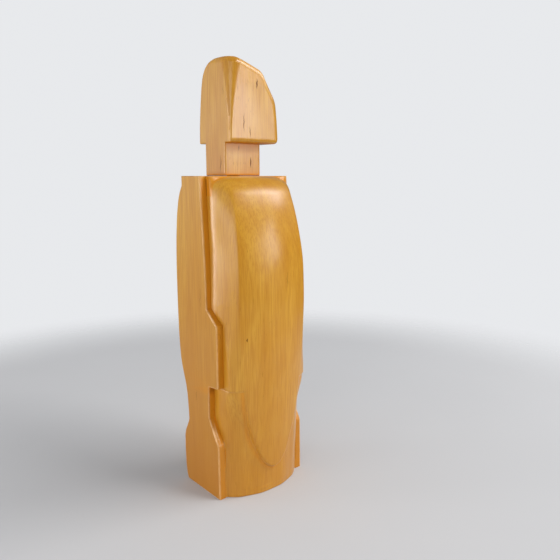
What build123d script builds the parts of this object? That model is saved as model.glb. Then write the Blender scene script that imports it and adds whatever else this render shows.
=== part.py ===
from build123d import *
import os

os.makedirs("parts", exist_ok=True)

# Carved wooden figure, standing.  Millimetres.  +Z is up, the figure's front is -Y,
# the origin is the middle of the bounding box on the standing face.

# ---- driving dimensions -------------------------------------------------------
shoulder_height = 192.0      # floor to the flat shoulders
crown_height = 260.0         # floor to the top of the head
body_width = 65.4            # across the outer faces of the two side panels
panel_thickness = 4.5        # arm-and-leg panels glued to the sides of the torso
panel_arris = 0.6            # worn outer edges of the panels
belly_front = -30.0          # foremost line of the belly
back_crown = 30.0            # rearmost line of the back
foot_front = -25.0           # foremost point of the standing face
flank_swell = 0.85           # the flank stands this far outside a straight line
hand_front = -14.3           # front edge of the forearm and hand
hand_bottom = 69.5           # floor to the underside of the hands
elbow_top = 116.0            # the forearm starts to come forward here
elbow_bottom = 107.5
neck_width = 26.0            # across X
neck_depth = 20.5            # along Y, the same as the flat of the shoulders
neck_y = 12.65               # middle of the neck, along Y
chest_roll_y = -4.0          # the flat of the shoulders ends here
neck_gap = 0.3               # the neck turns just clear of the shoulders
chin_height = 211.0          # floor to the underside of the head
head_front = -3.3            # broad side of the head, towards the figure's front
head_back = 29.3
face_x = 24.0                # chin; the other end of the head is flush with the neck
dowel_radius = 4.0
dowel_length = 36.0
dowel_clearance = 0.06       # running fit in the torso

core_half_width = body_width / 2 - panel_thickness
apron_top = hand_bottom - 1  # the lower front starts here, level with the hands
neck_foot = shoulder_height + neck_gap
nape_x = -neck_width / 2     # the back of the head is flush with the neck
beyond = 40.0                # safely outside the body


# ---- torso --------------------------------------------------------------------
# A horizontal slice has straight sides, a flank that swells a little on its way in to
# a soft crease, a crowned front between the creases, and a shallow arc for the back.
def torso_slice(z, flank_y, crease_x, crease_y, front_y, back_side_y, back_y):
    swell_x = (core_half_width + crease_x) / 2 + flank_swell
    swell_y = (flank_y + crease_y) / 2
    with BuildSketch(Plane.XY.offset(z)) as outline:
        with BuildLine():
            ThreePointArc((core_half_width, back_side_y), (0, back_y), (-core_half_width, back_side_y))
            Line((-core_half_width, back_side_y), (-core_half_width, flank_y))
            ThreePointArc((-core_half_width, flank_y), (-swell_x, swell_y), (-crease_x, crease_y))
            ThreePointArc((-crease_x, crease_y), (0, front_y), (crease_x, crease_y))
            ThreePointArc((crease_x, crease_y), (swell_x, swell_y), (core_half_width, flank_y))
            Line((core_half_width, flank_y), (core_half_width, back_side_y))
        make_face()
    return outline.sketch


# Chest, belly and back, from the shoulders down to the floor.
belly_slices = [
    torso_slice(shoulder_height, -4.4, 21.4, -11.0, -15.4, 19.2, 23.4),
    torso_slice(175, -5.8, 22.6, -17.8, -22.4, 22.8, 26.4),
    torso_slice(155, -6.0, 23.9, -22.6, -27.2, 26.0, 29.0),
    torso_slice(132, -6.0, 24.7, -25.0, belly_front + 0.3, 27.0, back_crown),
    torso_slice(108, -6.0, 24.7, -25.3, belly_front, 26.6, 29.6),
    torso_slice(80, -6.0, 23.7, -25.2, -29.7, 24.6, 28.0),
    torso_slice(50, -6.0, 22.0, -24.5, -28.9, 22.4, 26.2),
    torso_slice(20, -6.0, 20.2, -23.4, -27.7, 21.4, 25.0),
    torso_slice(0, -6.0, 19.0, -22.4, -26.7, 20.6, 24.2),
]
# The lower front lies behind the apron and is flush with the hands and the feet.
# Its own back is a straight line inside the torso.
skirt_slices = [
    torso_slice(0, -14.4, 22.0, -19.6, foot_front, 10.0, 11.0),
    torso_slice(35, -14.4, 22.0, -20.6, -26.2, 10.0, 11.0),
    torso_slice(apron_top, -14.4, 22.0, -21.8, -27.4, 10.0, 11.0),
]
# Half of the apron's edge, down to its rounded tip, as (x, z).
apron_edge = [(22.2, apron_top), (20.3, 60), (16.3, 40), (8.4, 22.5)]
apron_tip = (0, 16)

with BuildPart() as torso:
    loft(belly_slices)
    # The chest rolls over to the flat of the shoulders, in front and at both corners.
    with BuildSketch(Plane.YZ.offset(-beyond)):
        with BuildLine():
            ThreePointArc((chest_roll_y, shoulder_height), (-15.5, 188), (-20, 177))
            Polyline((-20, 177), (-beyond, 120), (-beyond, 0), (beyond, 0),
                     (beyond, shoulder_height), (chest_roll_y, shoulder_height))
        make_face()
    extrude(amount=2 * beyond, mode=Mode.INTERSECT)
    for side in (-1, 1):
        with BuildSketch(Plane.XZ.offset(-chest_roll_y)):
            with BuildLine():
                ThreePointArc((side * 28.6, 180.5), (side * 25, 188.2), (side * 15, shoulder_height))
                Polyline((side * 15, shoulder_height), (side * 15, 200), (side * beyond, 200),
                         (side * beyond, 180.5), (side * 28.6, 180.5))
            make_face()
        extrude(amount=beyond, mode=Mode.SUBTRACT)
    # Beside and below the apron the front is cut back.
    with BuildSketch(Plane.XZ.offset(6)):
        with BuildLine():
            Spline(*apron_edge, apron_tip, *[(-x, z) for x, z in reversed(apron_edge)])
            Polyline((-apron_edge[0][0], apron_top), (-beyond, apron_top), (-beyond, -1),
                     (beyond, -1), (beyond, apron_top), (apron_edge[0][0], apron_top))
        make_face()
    extrude(amount=beyond, mode=Mode.SUBTRACT)
    loft(skirt_slices)
    # Blind hole for the neck dowel.
    with Locations((0, neck_y, shoulder_height)):
        Hole(dowel_radius + dowel_clearance, depth=dowel_length / 2 + 1)

torso.part.label = "torso"
export_step(torso.part, "parts/torso.step")


# ---- side panels --------------------------------------------------------------
# Arm, hand and leg cut as one outline.  Drawn on the side plane as (y, z).
def side_panel(name, outer_x, inner_x):
    side = Plane.YZ.offset(min(outer_x, inner_x))
    with BuildPart() as panel:
        with BuildSketch(side):
            with BuildLine():
                # shoulder and upper arm, front edge
                Line((19.4, shoulder_height), (0.2, shoulder_height))
                ThreePointArc((0.2, shoulder_height), (-2.8, 152), (-4.1, elbow_top))
                # forearm, hand, and the gap under it
                Line((-4.1, elbow_top), (-14.0, elbow_bottom))
                Line((-14.0, elbow_bottom), (hand_front, hand_bottom))
                Line((hand_front, hand_bottom), (-4.7, hand_bottom))
                # leg, front edge down to the foot
                Line((-4.7, hand_bottom), (-4.3, 49.5))
                Line((-4.3, 49.5), (-13.7, 34))
                Line((-13.7, 34), (-14.4, 0))
                # heel, calf and the hollow of the knee
                Line((-14.4, 0), (21.2, 0))
                Line((21.2, 0), (23.4, 10))
                Line((23.4, 10), (23.7, 30))
                Line((23.7, 30), (18.4, 41.2))
                Line((18.4, 41.2), (20.8, 63.3))
                # seat and back
                Spline((20.8, 63.3), (25.6, 78), (27.8, 105), (28.0, 138), (25.2, 171), (19.4, 186.4))
                Line((19.4, 186.4), (19.4, shoulder_height))
            make_face()
        extrude(amount=panel_thickness)
        outer_face = panel.faces().sort_by(Axis.X)[0 if outer_x < 0 else -1]
        edges = [e for e in outer_face.edges() if e.center().Z > 1]
        chamfer(edges, length=panel_arris)
    panel.part.label = name
    export_step(panel.part, f"parts/{name}.step")


side_panel("right_arm_and_leg", -body_width / 2, -core_half_width)
side_panel("left_arm_and_leg", body_width / 2, core_half_width)

# ---- head and neck ------------------------------------------------------------
# One block.  Its face side looks to +X, a quarter turn from the front of the body:
# chin, brow and sloping crown are seen in profile from the front, and the nape runs
# straight down into the neck.
with BuildPart() as head:
    # from the face side: upright front, rounded top, back leaning in
    with BuildSketch(Plane.YZ.offset(nape_x)):
        with BuildLine():
            Line((head_back, chin_height), (head_front, chin_height))
            Line((head_front, chin_height), (head_front + 0.6, 252))
            ThreePointArc((head_front + 0.6, 252), (0.1, 257.8), (6, crown_height))
            Line((6, crown_height), (13, crown_height))
            ThreePointArc((13, crown_height), (21.6, 256.6), (25, 248))
            Line((25, 248), (head_back, chin_height))
        make_face()
    extrude(amount=face_x - nape_x)
    # from the front: chin, brow and sloping crown
    with BuildSketch(Plane.XZ.offset(-head_back)):
        with BuildLine():
            Polyline((nape_x, chin_height), (face_x, chin_height), (22.6, 234), (20.6, 239.5),
                     (12.6, 253), (-6, crown_height), (nape_x, crown_height + 2), close=True)
        make_face()
    extrude(amount=head_back - head_front, mode=Mode.INTERSECT)
    with BuildSketch(Plane.XY.offset(neck_foot)):
        with Locations((0, neck_y)):
            Rectangle(neck_width, neck_depth)
    extrude(amount=chin_height - neck_foot)
    with Locations(Plane((0, neck_y, neck_foot), z_dir=(0, 0, -1))):
        Hole(dowel_radius, depth=dowel_length / 2 + 1)

head.part.label = "head"
export_step(head.part, "parts/head.step")

# ---- neck dowel ---------------------------------------------------------------
with BuildPart() as neck_dowel:
    with BuildSketch(Plane.XY.offset(neck_foot - dowel_length / 2)):
        with Locations((0, neck_y)):
            Circle(dowel_radius)
    extrude(amount=dowel_length)
    chamfer(neck_dowel.faces().filter_by(Axis.Z).edges(), length=0.8)

neck_dowel.part.label = "neck_dowel"
export_step(neck_dowel.part, "parts/neck_dowel.step")
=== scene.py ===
import math
import bpy
import bmesh
import numpy as np
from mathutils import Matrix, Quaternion, Vector


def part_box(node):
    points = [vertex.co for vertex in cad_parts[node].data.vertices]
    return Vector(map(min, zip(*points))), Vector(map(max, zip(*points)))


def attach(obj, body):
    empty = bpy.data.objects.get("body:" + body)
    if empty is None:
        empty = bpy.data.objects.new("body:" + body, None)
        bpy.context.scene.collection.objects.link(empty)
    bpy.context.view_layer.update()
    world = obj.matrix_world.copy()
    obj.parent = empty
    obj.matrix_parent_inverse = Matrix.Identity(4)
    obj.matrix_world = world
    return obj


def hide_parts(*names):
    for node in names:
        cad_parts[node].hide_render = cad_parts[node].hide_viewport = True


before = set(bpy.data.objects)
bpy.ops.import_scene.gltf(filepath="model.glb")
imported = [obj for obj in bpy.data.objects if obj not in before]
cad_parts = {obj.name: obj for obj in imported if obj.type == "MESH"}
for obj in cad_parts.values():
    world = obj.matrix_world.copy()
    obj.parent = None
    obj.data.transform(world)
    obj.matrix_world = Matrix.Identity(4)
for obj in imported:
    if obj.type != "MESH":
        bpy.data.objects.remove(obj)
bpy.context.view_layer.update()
MM = 0.001

# ---- sizes, in millimetres: those of whole parts come from the CAD frame ----------
torso_lo, torso_hi = (np.array(c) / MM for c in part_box("torso"))
core_half = torso_hi[0]
shoulder_z = torso_hi[2]
outer_half = -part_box("right_arm_and_leg")[0][0] / MM
dowel_lo, dowel_hi = (np.array(c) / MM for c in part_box("neck_dowel"))
neck_y = (dowel_lo[1] + dowel_hi[1]) / 2
dowel_r = (dowel_hi[0] - dowel_lo[0]) / 2
head_lo, head_hi = (np.array(c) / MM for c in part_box("head"))
head_front, head_back = head_lo[1], head_hi[1]
nape_x, face_x = head_lo[0], head_hi[0]
crown_z = head_hi[2]

sole = 0.0                          # the flat face that the figure stands on
elbow_z = 116.0                     # where the arm's front edge begins to step forward
elbow_y = -4.1                      # and how far forward it is there
hand_bottom = 69.5
hand_y = -14.3                      # the hand's front edge
ledge_z = hand_bottom - 1.0         # top of the lower front behind the apron
front_slope = 0.97                  # turns a depth into a distance across the belly's curve
apron_top = 86.0                    # the apron is cut from the body below this
roll_bottom = 150.0                 # the chest begins to roll over to the shoulders above this
torso_middle_y = -4.0               # the torso's rings are solved round this line
rear_of_lower_front = 6.0
hole_clearance = 0.06               # round the dowel, as in the CAD
socket_clearance = 1.0              # past either end of the dowel, as in the CAD
chin_z = 211.0
neck_half_x, neck_half_y = 13.0, 10.25
neck_foot = head_lo[2] - 0.22       # just clear of the shoulder


# ---- rounded forms ---------------------------------------------------------------
def smax(a, b, k):
    """Intersection of two forms with a worn edge about k wide."""
    h = np.clip(0.5 + 0.5 * (a - b) / k, 0.0, 1.0)
    return b + (a - b) * h + k * h * (1.0 - h)


def smin(a, b, k):
    """Union of two forms with a softened inner corner."""
    return -smax(-a, -b, k)


def smooth_curve(x, xs, ys):
    """Smooth curve through a few design stations."""
    xs, ys = np.array(xs, float), np.array(ys, float)
    slope = np.gradient(ys, xs)
    i = np.clip(np.searchsorted(xs, x) - 1, 0, len(xs) - 2)
    w = xs[i + 1] - xs[i]
    t = np.clip((x - xs[i]) / w, 0.0, 1.0)
    t2, t3 = t * t, t * t * t
    return ((2 * t3 - 3 * t2 + 1) * ys[i] + (t3 - 2 * t2 + t) * w * slope[i]
            + (3 * t2 - 2 * t3) * ys[i + 1] + (t3 - t2) * w * slope[i + 1])


def side_plane(x, y, p0, p1):
    """Signed distance to the line from p0 (rear) to p1 (front), outside to the side."""
    dx, dy = p1[0] - p0[0], p1[1] - p0[1]
    n = np.sqrt(dx * dx + dy * dy)
    return ((x - p0[0]) * -dy + (y - p0[1]) * dx) / n


def arm_edge(z):
    """Front edge of the upper arm."""
    return smooth_curve(z, [elbow_z, 137, 152, 167, 181, 192],
                        [elbow_y, -3.5, -2.8, -1.7, -0.6, 0.2])


def panel_front(z):
    """Front edge of the arm-and-leg panel: foot, notch, hand, elbow, upper arm."""
    stations = [0, 18, 33, 34.4, 41.8, 49.3, 51, 60,
                hand_bottom - 1.1, hand_bottom - 0.4, hand_bottom, 107.2, 111.5, elbow_z]
    edge = [-14.4, -14.2, -13.9, -13.5, -9.0, -4.5, -4.3, -4.5,
            -4.7, -9.0, hand_y, hand_y, -9.2, elbow_y]
    return np.where(z < elbow_z, np.interp(z, stations, edge), arm_edge(z))


def below_apron_edge(ax, z):
    """How far a height is below the apron's edge, measured roughly square to that edge."""
    edge_z = smooth_curve(ax, [0, 4, 7.8, 9.6, 12.1, 16.2, 18.7, 20.2, 21.6, 23.5, 40],
                          [16, 17.6, 21.5, 24.2, 30, 40.5, 50, 60, 70, 84, 190])
    run = np.interp(ax, [0, 5, 10, 20, 24], [1.0, 1.3, 2.2, 7.0, 10.0])
    return (edge_z - z) / run


def torso_form(x, y, z):
    """Negative inside the torso: belly, flanks, chest, apron, lower front and back."""
    ax = np.abs(x)
    # belly
    crease_x = smooth_curve(z, [0, 30, 60, 80, 100, 130, 150, 170, 185, 192],
                            [19.5, 21.2, 22.8, 23.7, 24.4, 24.8, 24.2, 22.9, 22.0, 21.4])
    crease_y = smooth_curve(
        z, [0, 30, 60, 80, 100, 130, 145, 160, 175, 185, 192],
        [-22.6, -23.9, -24.7, -25.1, -25.3, -25.1, -24.1, -21.7, -17.9, -13.9, -10.6])
    front_y = smooth_curve(
        z, [0, 30, 60, 85, 110, 130, 145, 160, 175, 185, 192],
        [-26.7, -28.1, -29.2, -29.8, -30.0, -29.9, -28.8, -26.3, -22.4, -18.3, -15.0])
    arc = front_y + (crease_y - front_y) * (ax / crease_x) ** 2
    front = (arc - y) * front_slope
    flank_y = smooth_curve(z, [0, 104, 109, 119, 180, 192], [-14.6, -14.6, -12.5, -6.4, -5.9, -4.6])
    # in front of the panel's edge the flank stands a little over the joint line
    overlap = np.interp(z, [0, 60, 100, 108, 119, 137, 150, 180, 192],
                        [0.3, 0.35, 0.4, 0.6, 1.3, 1.1, 0.7, 0.3, 0.0])
    wall = core_half + np.where(y < panel_front(z) - 0.12, overlap, 0.0)
    # the flank is very slightly full between the panel and the crease
    along = np.clip((flank_y - y) / (flank_y - crease_y), 0.0, 1.0)
    facet = side_plane(ax, y, (wall, flank_y), (crease_x, crease_y)) - 1.6 * along * (1 - along)
    flank = smax(facet, ax - wall, np.interp(z, [108, 118], [0.35, 0.8]))
    crease_round = np.interp(z, [60, 100, 150, 172, 185, 192], [1.3, 0.6, 0.4, 0.5, 1.4, 2.6])
    belly = smax(front, flank, crease_round)
    # the chest rolls over to the shoulders, in front and at its corners
    forward = np.clip(arm_edge(z) - 3.6 - y, 0.0, 1.0)
    top = z - shoulder_z
    roll = smax(smax(front, top, 11.0), smax(flank, top, 9.0), crease_round)
    chest = smax(roll, ax - wall, 0.5)
    shoulders = smax(belly, top, 0.5)
    body = np.where(z > roll_bottom, shoulders * (1 - forward) + chest * forward, belly)
    # tongue-shaped apron over the lower front
    cut = smin(below_apron_edge(ax, z), ledge_z + 0.2 - z, 0.6)
    apron = smax(body, np.where(z < apron_top, cut, -30.0), 1.3)
    # lower front behind the apron
    bow = smooth_curve(ax, [0, 8.5, 15, 21.8, 25.7, 27.8, 30], [0, 0.5, 2.6, 5.4, 8.6, 11.0, 14.0])
    apex = smooth_curve(z, [0, 6, 20, 35, 68.5], [-24.6, -25.0, -25.5, -26.2, -27.2])
    soft_corner = np.interp(z, [0, 30, 38, 60, 68.5], [1.0, 1.6, 5.0, 4.0, 1.2])
    bowed = (apex + bow - y) / np.hypot(1.0, 0.045 * ax)
    fall = np.clip((ledge_z - z) / 22, 0.0, 1.0)
    fall = fall * fall * (3 - 2 * fall)
    lower_front = (smax(front, facet, 0.9) + 0.6) * (1 - fall) + bowed * fall
    skirt = smax(lower_front, ax - wall, soft_corner)
    skirt = smax(skirt, z - ledge_z, 0.5)
    skirt = smax(skirt, y - rear_of_lower_front, 0.5)
    front_half = smin(apron, skirt, 0.9)
    core = smax(ax - core_half, panel_front(z) - y, 0.1)
    lower = np.where(z < apron_top, smin(front_half, core, 0.3), body)
    # shallow curved back
    side_back = smooth_curve(z, [0, 20, 50, 80, 108, 132, 155, 175, 192],
                             [20.6, 21.4, 22.4, 24.6, 26.6, 27.0, 26.0, 22.8, 19.2])
    back_y = smooth_curve(z, [0, 20, 50, 80, 108, 132, 155, 175, 192],
                          [24.2, 25.0, 26.2, 28.0, 29.6, 29.9, 29.0, 26.4, 23.4])
    back = y - (back_y + (side_back - back_y) * (ax / core_half) ** 2)
    return smax(smax(lower, back, 1.0), sole - z, 0.7)


def slant(x, z, through_x, through_z, nx, nz):
    """Signed distance to a plane that leans back as it rises, through one point."""
    return ((x - through_x) * nx + (z - through_z) * nz) / math.hypot(nx, nz)


def head_form(x, y, z):
    """Negative inside the head: a block with three slanting planes over the face side."""
    front = head_front + 0.010 * (z - chin_z) - y
    nape = nape_x - x
    rear = smooth_curve(z, [211, 225, 237, 246, 251.5, 255.5, 258.3, 260.5],
                        [head_back, 28.3, 27.1, 25.9, 24.2, 21.0, 16.2, 8.0])
    chin = slant(x, z, face_x, chin_z, 1.0, 1.4 / 23)
    brow = slant(x, z, 20.6, 239.5, 13.5, 8.0)
    crown = slant(x, z, 12.6, 253.2, 6.4, 18.6)
    face = smax(smax(smax(chin, brow, 1.6), crown, 2.0), z - crown_z - 1.0, 2.0)
    # the front edge of the nape side is an arris at the bottom and a wide round at the top
    corner_round = np.interp(z, [213, 220, 230, 240, 250, 258], [1.2, 1.6, 2.8, 4.9, 7.2, 10.0])
    corner = smax(smax(front, chin_z - z, 2.8), nape, corner_round)
    block = smax(smax(corner, y - rear, 0.7), face, np.interp(z, [225, 245], [3.6, 4.8]))
    block = smax(block, chin_z - z, 0.5)
    return np.minimum(block, np.where(z < chin_z + 3, neck_form(x, y, z), block))


def neck_form(x, y, z):
    """Negative inside the neck, a plain square block."""
    return smax(np.abs(x) - neck_half_x, np.abs(y - neck_y) - neck_half_y, 0.9)


# ---- meshes ------------------------------------------------------------------------
def solve_rings(form, rows, angles, centre, reach, samples=72, halvings=14):
    """Points on the form's surface: one ring of points round a moving centre per row.
    Each point is bracketed by the samples along its ray, then found by halving."""
    rings = []
    radii = np.linspace(0.5, reach, samples)
    ca, sa = np.cos(angles), np.sin(angles)
    for z in rows:
        cx, cy = centre(z)
        level = np.full(len(angles), z)
        field = form(cx + radii[:, None] * ca, cy + radii[:, None] * sa,
                     np.full((samples, len(angles)), z))
        outermost = samples - 1 - np.argmax((field < 0)[::-1], axis=0)
        near = radii[np.minimum(outermost, samples - 2)]
        near = np.where((field < 0).any(axis=0), near, 0.0)
        far = near + radii[1] - radii[0]
        for _ in range(halvings):
            mid = 0.5 * (near + far)
            inside = form(cx + mid * ca, cy + mid * sa, level) < 0
            near, far = np.where(inside, mid, near), np.where(inside, far, mid)
        rings.append(np.stack([cx + near * ca, cy + near * sa, level], axis=1))
    return rings


def skin(rings, start_point=None, end_point=None):
    """Vertices and faces of a skin over a list of rings, with a fan to a point at each end
    that has one."""
    n = len(rings[0])
    verts = np.concatenate(rings)
    faces = []
    for r in range(len(rings) - 1):
        a, b = r * n, (r + 1) * n
        faces += [(a + i, a + (i + 1) % n, b + (i + 1) % n, b + i) for i in range(n)]
    for point, ring, flip in ((start_point, 0, True), (end_point, len(rings) - 1, False)):
        if point is None:
            continue
        verts = np.vstack([verts, point])
        last, a = len(verts) - 1, ring * n
        for i in range(n):
            edge = (a + i, a + (i + 1) % n)
            faces.append((edge[1], edge[0], last) if flip else (edge[0], edge[1], last))
    return verts, faces


def between(a, b, steps):
    """Rings spread between ring a and ring b, both ends left out."""
    return [a + (b - a) * t for t in np.linspace(0, 1, steps + 2)[1:-1]]


def circle_round_neck(angles, z, r):
    """A ring about the neck's axis."""
    return np.stack([r * np.cos(angles), neck_y + r * np.sin(angles), np.full(len(angles), z)],
                    axis=1)


def bell(value, middle, width):
    """1 at the middle, falling away smoothly over about the width on both sides."""
    return np.exp(-((value - middle) / width) ** 2)


def tool_marks(p, seed, size):
    """Slow unevenness of a surface shaped by hand, in millimetres."""
    rng = np.random.default_rng(seed)
    total = np.zeros(len(p))
    for _ in range(9):
        wave = rng.normal(size=3) * np.array([1.0, 1.0, 0.45])
        wave *= 2 * math.pi / rng.uniform(16, 42) / np.linalg.norm(wave)
        total += np.sin(p @ wave + rng.uniform(0, 6.28))
    return total * size / 3.0


def make_object(name, verts, faces, smooth_angle, recess, wear_and_glint):
    """A mesh object in metres, with the two layers that the material reads: recess is 1
    where varnish pools and above 1 where shade is painted darker; the other layer is 1 where edges
    are rubbed pale and, in places, carry a painted highlight."""
    mesh = bpy.data.meshes.new(name)
    mesh.from_pydata((verts * MM).tolist(), [], faces)
    mesh.validate()
    for label, values in (("recess", recess), ("wear_and_glint", wear_and_glint)):
        layer = mesh.attributes.new(label, "FLOAT", "POINT")
        layer.data.foreach_set("value", values)
    bm = bmesh.new()
    bm.from_mesh(mesh)
    bmesh.ops.remove_doubles(bm, verts=bm.verts, dist=1e-6)
    bmesh.ops.dissolve_degenerate(bm, edges=bm.edges, dist=1e-7)
    bmesh.ops.recalc_face_normals(bm, faces=bm.faces)
    for e in bm.edges:
        e.smooth = len(e.link_faces) == 2 and e.calc_face_angle(0.0) < smooth_angle
    for f in bm.faces:
        f.smooth = True
    bm.to_mesh(mesh)
    bm.free()
    obj = bpy.data.objects.new(name, mesh)
    bpy.context.collection.objects.link(obj)
    return obj


def row_heights(*runs):
    """Heights from runs of (bottom, top, count), each starting where the last one ends."""
    return np.concatenate([np.linspace(*run)[min(k, 1):] for k, run in enumerate(runs)])


def rows_easing_up(bottom, top, count=44):
    """Heights above bottom that crowd together towards top."""
    return bottom + (top - bottom) * np.sin(np.linspace(0, math.pi / 2, count))[1:]


most_recess = 1.7
hair = 0.004                        # keeps the end rows just inside a form's flat ends

# ---- torso, with a blind hole for the neck dowel ----------------------------------------
front_angles = np.radians(np.linspace(-200, 20, 470, endpoint=False))
rear_angles = np.radians(np.linspace(20, 160, 110, endpoint=False))
torso_angles = np.concatenate([front_angles, rear_angles])
torso_rows = np.concatenate([
    row_heights((hair, 1.6, 9), (1.6, 67, 92), (67, 70.5, 16), (70.5, 104, 40), (104, 119, 26),
                (119, 178, 64)),
    rows_easing_up(178, shoulder_z - hair)])
rings = solve_rings(torso_form, torso_rows, torso_angles, lambda z: (0.0, torso_middle_y), 48.0)
rings[0][:, 2], rings[-1][:, 2] = sole, shoulder_z
hole_r = dowel_r + hole_clearance
hole_bottom = dowel_lo[2] - socket_clearance
mouth = circle_round_neck(torso_angles, shoulder_z, hole_r)
floor_of_hole = circle_round_neck(torso_angles, hole_bottom, hole_r)
rings += between(rings[-1], mouth, 5) + [mouth, floor_of_hole]
verts, faces = skin(rings, (0, torso_middle_y, sole), (0, neck_y, hole_bottom))
ax, vy, vz = np.abs(verts[:, 0]), verts[:, 1], verts[:, 2]
# hand-shaped unevenness on the belly and flanks, kept away from the joints
marked_y = -6.5
marked = (vy < marked_y) & (ax < core_half + 0.2) & (vz > 4) & (vz < shoulder_z - 4)
marks = np.where(marked, tool_marks(verts, 4, 0.13), 0.0)
verts[:, 1] += marks * np.clip((marked_y - vy) / 5, 0, 1)
verts[:, 1] = np.maximum(verts[:, 1], torso_lo[1])
verts[:, 2] = np.clip(verts[:, 2], sole, shoulder_z)
# the chest stands slightly proud in front of the neck
crest = np.clip((vz - 184) / 8, 0, 1) ** 2
crest *= np.clip((-4.4 - vy) / 2.2, 0, 1) * np.clip((24 - ax) / 8, 0, 1)
verts[:, 2] += 0.7 * crest
# varnish pools along the apron's edge and in the chest's top corners; on top of the shoulders round
# the neck the deeper colour is also painted shade, and shade is painted darker still into the joint
# in front of the panels
flat_top = vz > shoulder_z - 0.6
recess = 0.6 * bell(below_apron_edge(ax, vz), 0.9, 0.9) * (vz < ledge_z) * (vy < -12)
recess += 0.8 * np.clip((vy + 6.0) / 4.0, 0, 1) * flat_top
recess += 0.9 * (vy > -6.0) * (vy < 2) * (vz > 181) * ~flat_top * (ax > 15)
# painted shade: a dark line along the joint in front of the panels
recess += 1.5 * bell(vy - panel_front(vz), -0.3, 0.35) * (ax > core_half - 0.4) * (vz < 190)
recess = np.clip(recess, 0, most_recess)
# rubbed pale along the flank's front arris, a pale band that is also a painted highlight on that
# arris
wear_and_glint = bell(vy, -7.0, 1.6) * (vz > 112) * (ax > 26) * np.clip((186 - vz) / 8, 0, 1)
torso = make_object("torso_carving", verts, faces, math.radians(42), recess, wear_and_glint)
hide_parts("torso")
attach(torso, "figure")


# ---- side panels ---------------------------------------------------------------------
def panel_outline():
    """Front edge from the shoulder down to the foot, then up the back, as (y, z)."""
    arm_z = np.linspace(shoulder_z, elbow_z, 40)
    hand = [(-9.2, 111.5), (-14.0, 107.4), (-14.25, 103), (hand_y, 88), (hand_y, hand_bottom + 1.0),
            (-14.0, hand_bottom + 0.3), (-13.3, hand_bottom), (-5.2, hand_bottom - 0.6),
            (-4.7, hand_bottom - 1.1)]
    front_of_leg = [(-4.5, 60), (-4.3, 51), (-4.5, 49.3), (-9.0, 41.8), (-13.5, 34.4),
                    (-13.9, 33), (-14.2, 18), (-14.4, sole)]
    back_of_leg = [(21.2, sole), (22.6, 4), (23.5, 10), (23.9, 20), (23.8, 29), (22.7, 32.8),
                   (19.0, 39.8), (18.4, 41.6), (18.7, 48), (19.6, 57), (20.8, 63.3)]
    back_z = np.linspace(65, 186.4, 60)
    back_y = smooth_curve(back_z, [63.3, 78, 90, 105, 125, 140, 160, 172, 182.4, 186.4],
                          [20.8, 25.6, 27.1, 27.8, 28.1, 28.0, 26.8, 25.1, 21.9, 19.5])
    shoulder = [(19.4, 187.2), (19.4, shoulder_z)]
    return np.vstack([np.column_stack([arm_edge(arm_z), arm_z]), hand, front_of_leg, back_of_leg,
                      np.column_stack([back_y, back_z]), shoulder])


def inset(outline, distance):
    """The closed outline moved inwards by distance, which may vary round it."""
    ahead = np.roll(outline, -1, axis=0) - outline
    ahead /= np.linalg.norm(ahead, axis=1)[:, None]
    behind = np.roll(ahead, 1, axis=0)
    bend = ahead + behind
    bend /= np.linalg.norm(bend, axis=1)[:, None]
    inward = np.stack([-bend[:, 1], bend[:, 0]], axis=1)
    spread = np.clip((bend * ahead).sum(axis=1), 0.6, 1.0)
    return outline + inward * (distance / spread)[:, None]


def resample(outline, step):
    """More points along the outline's longer runs."""
    out = []
    for a, b in zip(outline, np.roll(outline, -1, axis=0)):
        n = max(1, int(np.linalg.norm(b - a) / step))
        out += [a + (b - a) * k / n for k in range(n)]
    return np.array(out)


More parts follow.
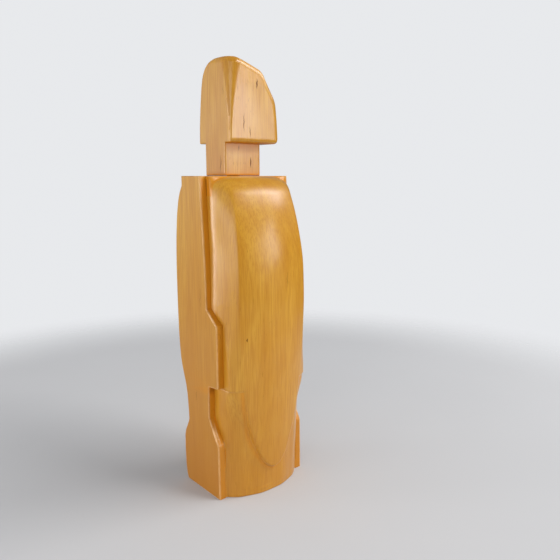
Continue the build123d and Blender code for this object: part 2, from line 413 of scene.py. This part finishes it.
def side_panel(name, node, side):
    """An arm-and-leg panel: the outline carried outwards from the joint, with a rounded edge
    and a flat outer face.  side is -1 or 1."""
    outline = resample(panel_outline(), 1.0)
    n = len(outline)
    y, z = outline[:, 0], outline[:, 1]
    # the edge is rounder where the hand is held and at the elbow
    radius = 0.55 + 0.35 * bell(z, 80, 16) * (y < -8) + 0.2 * bell(z, 111, 5) * (y < 0)
    bevel, round_steps, face_border = 0.12, 5, 0.3
    layers = [(core_half, np.full(n, bevel))]
    layers += [(core_half + out, np.zeros(n)) for out in (bevel, 1.8, 2.2, 2.5, 2.9, 3.2)]
    for turn in np.linspace(0, math.pi / 2, round_steps + 1):
        layers.append((outer_half - radius * (1 - math.sin(turn)), radius * (1 - math.cos(turn))))
    layers.append((outer_half, radius + face_border))
    rings = [np.column_stack([np.full(n, side * x), inset(outline, depth)]) for x, depth in layers]
    verts, faces = skin(rings)
    faces += [tuple(range(n)), tuple(range(len(verts) - n, len(verts)))]
    ax, vy, vz = np.abs(verts[:, 0]), verts[:, 1], verts[:, 2]
    front_edge = (vy < 6) & (vz > 0.6) & (vz < shoulder_z)
    from_edge = outer_half - ax
    shin, elbow = bell(vz, 40, 4.5), bell(vz, 110, 4)
    # rubbed pale along the front edge, most at the shin and the elbow; this pale edge is also a
    # painted highlight on the arris
    wear_and_glint = bell(from_edge, 0.3, 0.4) * (vy < 6) * (from_edge < 1.6)
    wear_and_glint *= 0.8 + 0.9 * shin + 0.8 * elbow
    # painted glints: two pale streaks down the shin's front edge
    shin_edge_glints = shin * front_edge * (vy < -3) * (from_edge < 2.5)
    shin_edge_glints *= 1 - 0.8 * bell(from_edge, 1.4, 0.3)
    wear_and_glint = np.maximum(wear_and_glint, 1.6 * shin_edge_glints)
    wear_and_glint[-n:] = 0.0                 # the outer face is one polygon, so its border stays clean
    # varnish pools on the front edge towards the joint, and shade is painted darker at the top of
    # the notch under the hand
    recess = np.clip((from_edge - 0.5) / 0.5, 0, 1) * front_edge
    recess *= np.where(vz < 34, 0.45, np.where(np.abs(vz - 88) < 19, 0.75, 1.0))
    recess *= 1 - np.clip(shin_edge_glints, 0, 1)
    # painted shade at the top of the notch under the hand
    recess += 0.5 * front_edge * bell(vz, 66.5, 2.5) * (vy > -8)
    verts[:, 2] = np.clip(verts[:, 2], sole, shoulder_z)
    obj = make_object(name, verts, faces, math.radians(38), recess, wear_and_glint)
    # the two large faces are cut into triangles here, so that every renderer cuts them alike
    bm = bmesh.new()
    bm.from_mesh(obj.data)
    bmesh.ops.triangulate(bm, faces=[f for f in bm.faces if len(f.verts) > 4])
    bm.to_mesh(obj.data)
    bm.free()
    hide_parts(node)
    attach(obj, "figure")
    return obj


right_panel = side_panel("right_arm_and_leg_panel", "right_arm_and_leg", -1)
left_panel = side_panel("left_arm_and_leg_panel", "left_arm_and_leg", 1)


# ---- head and neck ---------------------------------------------------------------------
head_middle = (3.0, 12.65)
mean_head_radius = 18.0


def head_centre(z):
    """The line that the head's rings are solved round: it leans to the nape under the crown."""
    lean = np.clip((z - 236) / 20, 0.0, 1.0)
    return head_middle[0] - 12.5 * lean * lean, head_middle[1]


def find_crown(inside_z, outside_z):
    """The height where the line of head_centre leaves the head."""
    for _ in range(30):
        z = 0.5 * (outside_z + inside_z)
        if head_form(*(np.array([c]) for c in (*head_centre(z), z)))[0] < 0:
            inside_z = z
        else:
            outside_z = z
    return inside_z


head_angles = np.radians(np.linspace(-180, 180, 420, endpoint=False))
head_rows = np.concatenate([
    row_heights((chin_z + 0.01, chin_z + 2, 12), (chin_z + 2, 246, 64)),
    rows_easing_up(246, find_crown(255.0, crown_z) - hair)])
neck_rows = np.concatenate([head_lo[2] + np.array([0, 0.25]),
                            np.linspace(head_lo[2] + 1, chin_z, 28)])
neck_rings = solve_rings(neck_form, neck_rows, head_angles, head_centre, 34.0)
neck_rings[0][:, 2] = neck_foot
# the foot's rim is eased in by a fiftieth of the way to a circle
neck_rings[0] += (circle_round_neck(head_angles, neck_foot, 6.0) - neck_rings[0]) * 0.02
head_rings = solve_rings(head_form, head_rows, head_angles, head_centre, 36.0)
head_rings[0][:, 2] = chin_z
socket_top = dowel_hi[2] + socket_clearance
socket_mouth = circle_round_neck(head_angles, neck_foot, dowel_r)
socket_end = circle_round_neck(head_angles, socket_top, dowel_r)
rings = [socket_end, socket_mouth] + between(socket_mouth, neck_rings[0], 3) + neck_rings
rings += between(neck_rings[-1], head_rings[0], 4) + head_rings
crown_point = (*head_centre(head_rows[-1]), head_rows[-1])
verts, faces = skin(rings, (0, neck_y, socket_top), crown_point)
marks = tool_marks(verts, 11, 0.11) * np.clip((verts[:, 2] - chin_z - 3) / 6, 0, 1)
verts[:, :2] += (verts[:, :2] - head_middle) * (marks / mean_head_radius)[:, None]
vx, vy, vz = verts.T
# rubbed pale low on the front corner and along the brow's front edge, pale marks that are also
# painted highlights on those edges
from_corner = np.hypot(vx - nape_x, vy - head_front - 1.3)
wear_and_glint = bell(from_corner, 0, 0.9) * (vz > chin_z + 0.5) * (vz < 226)
brow_wear_and_highlight = bell(vy - head_front, 2.2, 2.6) * np.clip((vz - 243) / 4, 0, 1) * (vx > -5)
wear_and_glint = np.maximum(wear_and_glint, 0.8 * brow_wear_and_highlight)
# varnish pools under the chin, and shade is painted darker round the foot of the neck
recess = np.clip((vz - 204.5) / 6, 0, 1) * (vz < chin_z + 0.5) * (vy < 4) * (vx > nape_x + 0.4)
recess = np.maximum(recess, most_recess * np.exp((head_lo[2] - vz) / 0.9))
head = make_object("head_and_neck", verts, faces, math.radians(42), recess, wear_and_glint)
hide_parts("head")
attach(head, "turning_head")


# ---- varnished wood ----------------------------------------------------------------------
class Nodes:
    """A few short names for building the node tree of a material or a world."""

    def __init__(self, owner):
        owner.use_nodes = True
        self.owner = owner
        self.tree = owner.node_tree
        self.tree.nodes.clear()

    def add(self, kind, inputs=(), **settings):
        node = self.tree.nodes.new(kind)
        for key, value in settings.items():
            setattr(node, key, value)
        for key, value in dict(inputs).items():
            if isinstance(value, bpy.types.NodeSocket):
                self.tree.links.new(value, node.inputs[key])
            else:
                node.inputs[key].default_value = value
        return node

    def math(self, operation, a, b=0.0, c=0.0, clamp=False):
        node = self.add("ShaderNodeMath", {0: a, 1: b, 2: c}, operation=operation, use_clamp=clamp)
        return node.outputs[0]

    def vector(self, operation, a, b):
        return self.add("ShaderNodeVectorMath", {0: a, 1: b}, operation=operation).outputs[0]

    def attribute(self, name):
        return self.add("ShaderNodeAttribute", attribute_name=name).outputs["Fac"]

    def noise(self, vector, scale, detail=3.0, rough=0.5):
        node = self.add("ShaderNodeTexNoise",
                        {"Vector": self.vector("MULTIPLY", vector, scale), "Scale": 1.0,
                         "Detail": detail, "Roughness": rough})
        return node.outputs["Fac"]

    def remap(self, value, low, high, to_low=0.0, to_high=1.0, smooth=True):
        node = self.add("ShaderNodeMapRange", {"Value": value, "From Min": low, "From Max": high,
                                               "To Min": to_low, "To Max": to_high},
                        interpolation_type="SMOOTHSTEP" if smooth else "LINEAR")
        return node.outputs["Result"]

    def mix(self, factor, a, b):
        # a Mix node set to colours has its factor, colours and result at these places
        return self.add("ShaderNodeMix", {0: factor, 6: a, 7: b}, data_type="RGBA").outputs[2]


def rgb(r, g, b):
    """A colour given in 0-255 display values."""
    return tuple(((c / 255 + 0.055) / 1.055) ** 2.4 for c in (r, g, b)) + (1.0,)


POOLED = rgb(214, 137, 30)          # varnish in the inner corners
# painted shade: the dark colour for the joint lines, the foot of the neck and the notch
PAINTED_SHADE = rgb(104, 56, 12)
# pale colour of rubbed edges, also used for painted highlights on arrises and the brow
PALE_WEAR_AND_GLINT = rgb(238, 190, 134)
PORE = rgb(112, 62, 20)
CRACK = rgb(84, 42, 10)


def drying_crack(n, split, wander, across_mm, height, half, width, facing):
    """A short crack along the grain, 1 inside it, on the side that looks to -Y or to -X only."""
    front = facing == "front"
    side = split[0] if front else split[1]
    from_middle = n.math("SUBTRACT", n.math("SUBTRACT", side, across_mm), wander)
    offset = n.math("ABSOLUTE", from_middle)
    along = n.math("ABSOLUTE", n.math("SUBTRACT", split[2], height))
    taper = n.remap(along, half, half * 0.15, 0.0, width, smooth=False)
    line = n.remap(n.math("SUBTRACT", taper, offset), -0.14, 0.14)
    line = n.math("MULTIPLY", line, n.remap(along, half, half * 0.8))
    on_face = n.remap(split[1], 5.5, 4.5) if front else n.remap(split[0], -11.5, -12.5)
    return n.math("MULTIPLY", line, on_face)


def wood(name, pale, honey, amber, grain_shift, pores, checks=(), varnish=1.0, satin=0.0,
         coat_ior=1.5, foot_tone=0.34, rubbed_bare=0.0):
    """Close-grained pale wood under honey varnish.  The grain runs up the figure.
    checks are short drying cracks: (across, height, half length, width, facing)."""
    n = Nodes(bpy.data.materials.new(name))
    place = n.add("ShaderNodeTexCoord").outputs["Object"]
    own = n.vector("MULTIPLY", place, (1 / MM,) * 3)
    p = n.vector("ADD", own, grain_shift)
    split = n.add("ShaderNodeSeparateXYZ", {0: own}).outputs
    # growth rings round a pith well outside the piece, drifting slowly with height
    drift = n.noise(p, (0.045, 0.045, 0.009), 2.0)
    drift_mm = n.math("MULTIPLY", drift, 26.0)
    wide = n.add("ShaderNodeSeparateXYZ", {0: p}).outputs
    across = n.math("ADD", n.math("MULTIPLY", wide[0], 0.62), n.math("MULTIPLY", wide[1], 0.78))
    ring_pos = n.math("ADD", across, drift_mm)
    rings_fine = n.math("SINE", n.math("MULTIPLY", ring_pos, 2.5))
    rings_wide = n.math("SINE", n.math("MULTIPLY", ring_pos, 0.74))
    ring = n.math("ADD", n.math("MULTIPLY", rings_fine, 0.4), n.math("MULTIPLY", rings_wide, 0.6))
    ring01 = n.math("MULTIPLY_ADD", ring, 0.5, 0.5)
    fibre = n.noise(p, (1.5, 1.5, 0.035), 4.0, 0.62)
    fleck = n.noise(p, (3.4, 3.4, 0.42), 3.0, 0.6)
    cloud = n.noise(p, (0.055, 0.055, 0.02), 3.0, 0.55)
    base = n.mix(n.remap(cloud, 0.32, 0.68), pale, honey)
    base = n.mix(n.math("MULTIPLY", ring01, 0.36), base, amber)
    base = n.mix(n.math("MULTIPLY", n.remap(fibre, 0.44, 0.62), 0.46), base, amber)
    base = n.mix(n.math("MULTIPLY", n.remap(fleck, 0.55, 0.8), 0.14), base, pale)
    # the wood is darker towards the foot, partly from a little deeper varnish and partly as painted
    # shade, and varnish pools in the inner corners
    low = n.remap(split[2], 150.0, 10.0, 0.0, foot_tone, smooth=False)
    base = n.mix(low, base, amber)
    recess, wear_and_glint = n.attribute("recess"), n.attribute("wear_and_glint")
    uneven = n.remap(n.noise(p, (0.3, 0.3, 0.12), 3.0), 0.3, 0.7, 0.72, 1.0)
    base = n.mix(n.math("MULTIPLY", recess, uneven, clamp=True), base, POOLED)
    # painted shade: where recess is above 1 the colour darkens further
    base = n.mix(n.math("SUBTRACT", recess, 1.0, clamp=True), base, PAINTED_SHADE)
    # pale where edges are rubbed, and where highlights are painted on them
    patchy = n.remap(n.noise(p, (1.1, 1.1, 0.16), 4.0, 0.65), 0.34, 0.58, 0.35, 1.0)
    wear_and_glint_patches = n.math("MULTIPLY", wear_and_glint, patchy)
    base = n.mix(n.math("MULTIPLY", wear_and_glint_patches, 0.75, clamp=True), base, PALE_WEAR_AND_GLINT)
    # open pores: short dark dashes along the grain
    dash = n.noise(p, (1.9, 1.9, 0.24), 2.0, 0.4)
    patch = n.noise(p, (0.12, 0.12, 0.05), 2.0)
    pore = n.math("MULTIPLY", n.remap(dash, 0.66, 0.73), n.remap(patch, 0.46, 0.66))
    pore = n.math("MULTIPLY", pore, pores)
    base = n.mix(n.math("MULTIPLY", pore, 0.62), base, PORE)
    # height of fibres, pores and cracks, and where the wood is bare of varnish
    height = n.math("MULTIPLY", fibre, 0.30)
    height = n.math("ADD", height, n.math("MULTIPLY", cloud, 1.2))
    height = n.math("SUBTRACT", height, n.math("MULTIPLY", pore, 0.5))
    bare = n.math("MULTIPLY", pore, 0.7)
    if checks:
        wander = n.noise(own, (0.05, 0.05, 0.22), 3.0, 0.6)
        wander = n.math("MULTIPLY_ADD", wander, 3.0, -1.5)
        cracked = 0.0
        for check in checks:
            cracked = n.math("MAXIMUM", cracked, drying_crack(n, split, wander, *check))
        base = n.mix(n.math("MULTIPLY", cracked, 0.92), base, CRACK)
        height = n.math("SUBTRACT", height, n.math("MULTIPLY", cracked, 0.4))
        bare = n.math("MAXIMUM", bare, cracked)
    bare = n.math("MAXIMUM", bare, n.math("MULTIPLY", wear_and_glint, rubbed_bare))
    bump, coat_bump = (
        n.add("ShaderNodeBump", {"Height": height, "Strength": strength, "Distance": 0.12 * MM})
        for strength in (0.32, 0.14))
    smear = n.noise(p, (0.09, 0.09, 0.03), 4.0, 0.6)
    film = 0.0
    if varnish:
        thin = n.math("MULTIPLY_ADD", recess, -0.58 * varnish, varnish, clamp=True)
        film = n.math("MULTIPLY", n.math("SUBTRACT", 1.0, bare, clamp=True), thin)
    shader = n.add("ShaderNodeBsdfPrincipled", {
        "Base Color": base, "Roughness": n.remap(smear, 0.3, 0.7, 0.36, 0.5),
        "IOR": 1.45, "Specular IOR Level": 0.12, "Normal": bump.outputs[0],
        "Coat Weight": film, "Coat Roughness": 0.2 + satin, "Coat IOR": coat_ior,
        "Coat Normal": coat_bump.outputs[0]})
    n.add("ShaderNodeOutputMaterial", {"Surface": shader.outputs[0]})
    return n.owner


body_wood = wood(
    "body_wood", rgb(214, 161, 54), rgb(204, 146, 34), rgb(180, 112, 12), (40.0, 12.0, 5.0), 0.55,
    [(-20.5, 100.0, 1.3, 0.35, "front"), (8.0, 132.0, 5.0, 0.12, "front")], satin=0.10)
panel_wood = wood(
    "panel_wood", rgb(212, 160, 54), rgb(203, 145, 36), rgb(178, 112, 13), (-31.0, 55.0, 17.0), 0.5,
    [(2.0, 122.0, 6.0, 0.10, "side"), (9.0, 60.0, 4.0, 0.10, "side")],
    varnish=0.8, satin=0.08, foot_tone=0.85)
head_wood = wood(
    "head_wood", rgb(212, 160, 52), rgb(203, 145, 34), rgb(176, 108, 12), (9.0, -70.0, 33.0), 1.0,
    [(6.6, 245.0, 3.4, 0.42, "front"), (-3.1, 222.5, 6.0, 0.24, "front"),
     (1.2, 217.5, 3.4, 0.22, "front"), (6.0, 200.0, 3.6, 0.38, "front"),
     (-2.8, 208.4, 2.0, 0.2, "front"), (3.4, 240.5, 3.2, 0.14, "side"),
     (6.9, 199.0, 6.2, 0.28, "side")],
    satin=0.06, coat_ior=1.62, rubbed_bare=0.8)
dowel_wood = wood(
    "dowel_wood", rgb(216, 184, 136), rgb(204, 168, 116), rgb(178, 136, 82), (3.0, 3.0, 80.0), 0.4,
    varnish=0.0)
for piece, material in ((torso, body_wood), (right_panel, panel_wood), (left_panel, panel_wood),
                        (head, head_wood), (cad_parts["neck_dowel"], dowel_wood)):
    piece.data.materials.clear()
    piece.data.materials.append(material)

# ---- stage ---------------------------------------------------------------------------------
half_floor = 0.6
floor_mesh = bpy.data.meshes.new("floor")
corners = [(x * half_floor, y * half_floor, 0) for x, y in ((-1, -1), (1, -1), (1, 1), (-1, 1))]
floor_mesh.from_pydata(corners, [], [(0, 1, 2, 3)])
floor = bpy.data.objects.new("floor", floor_mesh)
bpy.context.collection.objects.link(floor)
# a pale cloth that fades out into the backdrop before the floor ends
cloth = Nodes(bpy.data.materials.new("pale_cloth"))
place = cloth.add("ShaderNodeTexCoord").outputs["Object"]
cloth_color = cloth.mix(cloth.noise(place, (2.5, 2.5, 2.5), 4.0),
                        rgb(198, 200, 203), rgb(210, 212, 215))
woven = cloth.add("ShaderNodeBsdfPrincipled", {"Base Color": cloth_color, "Roughness": 0.9})
from_figure = cloth.add("ShaderNodeVectorMath", {0: place}, operation="LENGTH").outputs["Value"]
clear = cloth.add("ShaderNodeBsdfTransparent")
faded = cloth.add("ShaderNodeMixShader", {0: cloth.remap(from_figure, 0.31, 0.50),
                                          1: woven.outputs[0], 2: clear.outputs[0]})
cloth.add("ShaderNodeOutputMaterial", {"Surface": faded.outputs[0]})
floor_mesh.materials.append(cloth.owner)

# a pale room: brighter behind the figure and to its right, dimmer behind the camera, and
# darker still in what the varnish mirrors, because the lights below stand for its windows
room = Nodes(bpy.data.worlds.new("studio"))
direction = room.add("ShaderNodeTexCoord").outputs["Generated"]
bright_side = (-0.50, 0.84, 0.20)
towards = room.add("ShaderNodeVectorMath", {0: direction, 1: bright_side},
                   operation="DOT_PRODUCT").outputs["Value"]
ray = room.add("ShaderNodeLightPath").outputs
fill = room.remap(towards, -0.8, 0.8, 0.30, 0.42)
mirrored = room.remap(towards, -0.5, 0.8, 0.0, 0.40)
backdrop = 0.84
glow = room.math("MULTIPLY_ADD", room.math("SUBTRACT", mirrored, fill), ray["Is Glossy Ray"], fill)
strength = room.math("MULTIPLY_ADD", room.math("SUBTRACT", backdrop, glow),
                     ray["Is Camera Ray"], glow)
sky = room.add("ShaderNodeBackground", {"Color": (0.96, 0.975, 1.0, 1.0), "Strength": strength})
room.add("ShaderNodeOutputWorld", {"Surface": sky.outputs[0]})
bpy.context.scene.world = room.owner


def soft_light(name, place, size_x, size_y, watts, color, roll=0.0):
    """A rectangular lamp that faces the middle of the figure, rolled about its own beam."""
    data = bpy.data.lights.new(name, "AREA")
    data.shape = "RECTANGLE"
    data.size, data.size_y = size_x, size_y
    data.energy, data.color = watts, color
    light = bpy.data.objects.new(name, data)
    light.visible_camera = False
    light.location = place
    facing = (Vector((0.0, 0.0, 0.13)) - Vector(place)).to_track_quat("-Z", "Y")
    light.rotation_euler = (facing @ Quaternion((0, 0, 1), math.radians(roll))).to_euler()
    bpy.context.collection.objects.link(light)


soft_light("window_low", (0.85, -1.36, 0.41), 0.45, 0.36, 4.6, (1.0, 0.98, 0.96))
soft_light("window_high", (0.99, -0.80, 1.17), 1.5, 0.42, 21.0, (1.0, 0.97, 0.95), roll=-25.0)
soft_light("fill_front", (-1.17, -1.05, 0.46), 1.3, 1.0, 8.0, (1.0, 0.98, 0.95))
soft_light("window_left", (-0.80, 0.60, 0.17), 0.24, 0.34, 2.1, (1.0, 0.96, 0.95))
soft_light("curtain_left", (-1.0, 0.09, 0.20), 0.45, 0.34, 1.7, (1.0, 0.96, 0.95))
soft_light("wall_glow", (-0.84, 1.12, 0.35), 0.5, 0.5, 0.5, (1.0, 0.98, 0.95))

# ---- camera: at shoulder height, in front and to the figure's right --------------------------
camera_data = bpy.data.cameras.new("camera")
camera_data.sensor_width = 36.0
camera_data.lens = 37.29
camera_data.clip_start = 0.01
camera = bpy.data.objects.new("camera", camera_data)
camera.location = (-0.2124, -0.2813, 0.192)
camera.rotation_euler = (math.radians(79.83), 0.0, math.radians(-40.4))
bpy.context.collection.objects.link(camera)
bpy.context.scene.camera = camera
bpy.context.scene.view_settings.view_transform = "Standard"
